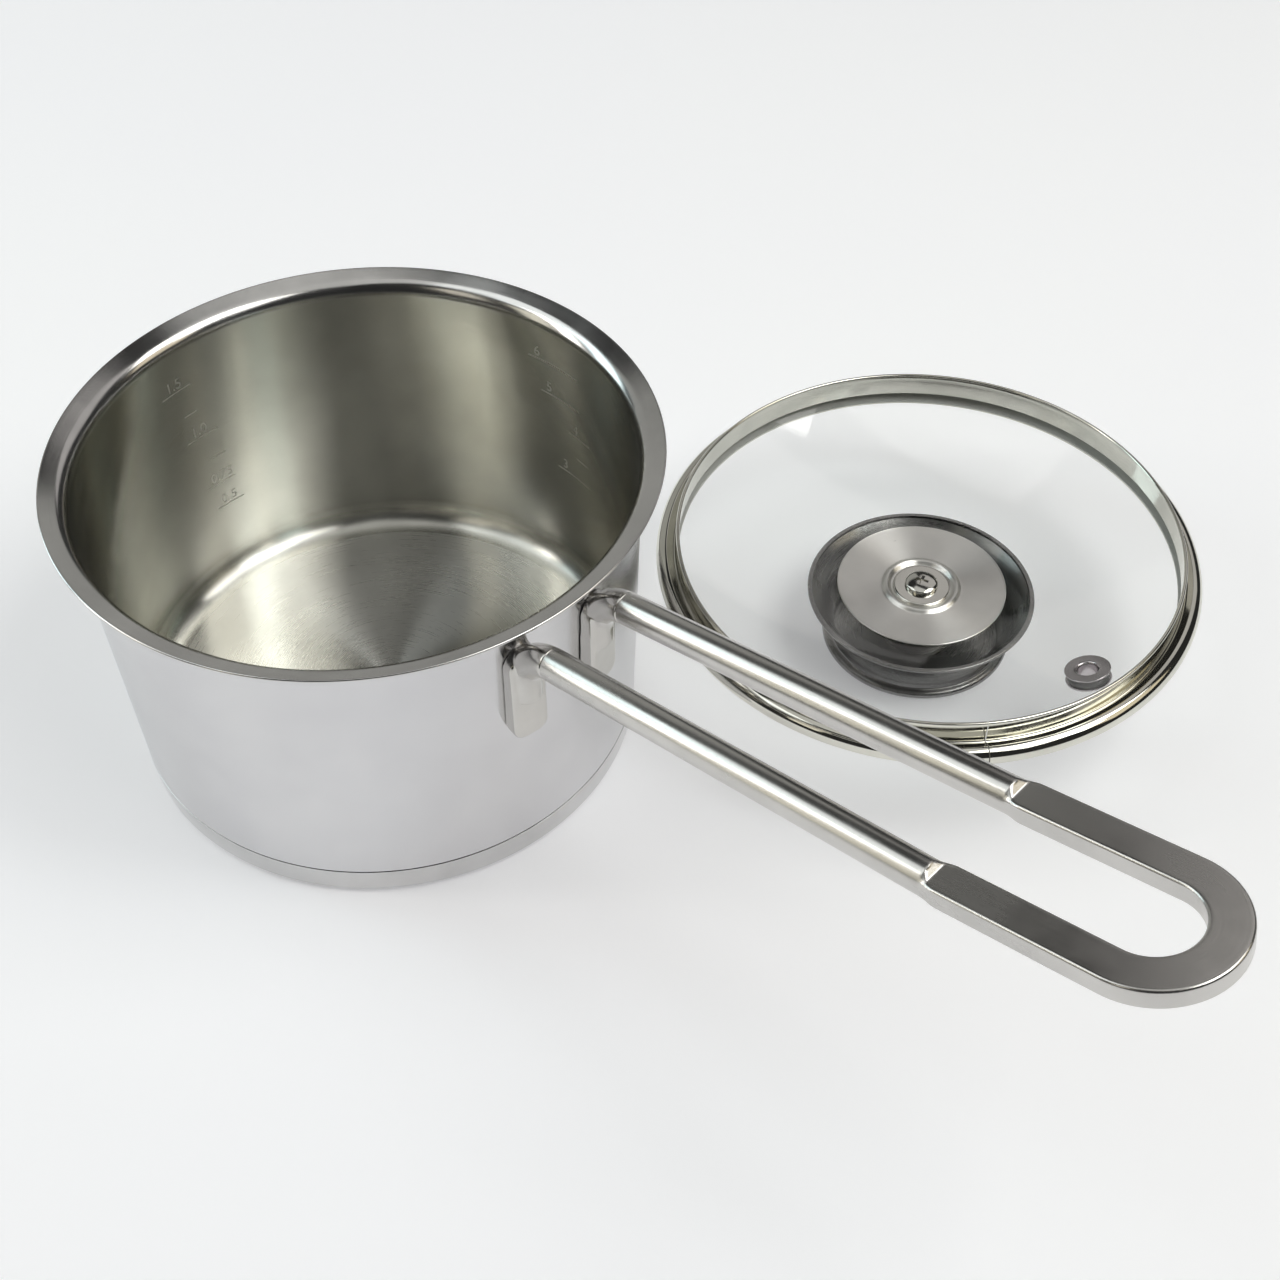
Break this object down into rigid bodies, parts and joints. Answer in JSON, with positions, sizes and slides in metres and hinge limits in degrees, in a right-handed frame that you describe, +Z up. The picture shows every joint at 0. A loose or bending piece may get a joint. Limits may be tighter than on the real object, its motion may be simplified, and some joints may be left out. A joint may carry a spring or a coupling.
{
  "type": "saucepan with glass lid",
  "caption": "small stainless steel saucepan with a pouring rim and an open wire-frame handle, with its domed glass lid lying knob-down beside it",
  "frame": {"origin": "the middle of the pan's bottom, on the surface that the pan stands on", "axes": "+X runs from the pan's axis out along the handle, +Z is up along the pan's axis, and +Y is the side on which the lid lies"},
  "size_m": [0.3623, 0.3069, 0.1337],
  "materials": {
    "pan_steel": "drawn stainless steel, mirror polished outside and brushed inside",
    "core_metal": "plain cast disc, sealed inside the base",
    "cap_steel": "stainless steel, polished on its side and turned underneath",
    "handle_steel": "satin stainless steel bar with polished edges",
    "bracket_steel": "polished stainless steel forging",
    "clear_glass": "clear toughened glass",
    "liner_plastic": "thin dark packing strip",
    "band_steel": "polished rolled stainless steel strip",
    "vent_steel": "polished stainless steel eyelet",
    "gasket_silicone": "translucent silicone",
    "knob_steel": "spun stainless steel, satin on its flat end",
    "post_steel": "turned stainless steel",
    "disc_steel": "satin pressed stainless steel",
    "screw_steel": "polished stainless steel"
  },
  "bodies": {
    "pan": {"pan_shell": "pan_steel", "base_core": "core_metal", "base_cap": "cap_steel", "handle_bar": "handle_steel", "bracket_left": "bracket_steel", "bracket_right": "bracket_steel"},
    "lid": {"lid_glass": "clear_glass", "band_liner": "liner_plastic", "lid_band": "band_steel", "vent_eyelet": "vent_steel", "vent_ring": "vent_steel", "vent_gasket": "gasket_silicone", "knob_shell": "knob_steel", "knob_post": "post_steel", "knob_gasket": "gasket_silicone", "disc_seal": "gasket_silicone", "backing_disc": "disc_steel", "screw_washer": "screw_steel", "knob_screw": "screw_steel"}
  },
  "joints": [
    {"name": "lid_lift", "type": "slide", "parent": "pan", "child": "lid", "axis": [0.1076, 0.1363, 0.9848], "range_m": [0, 0.2]}
  ]
}
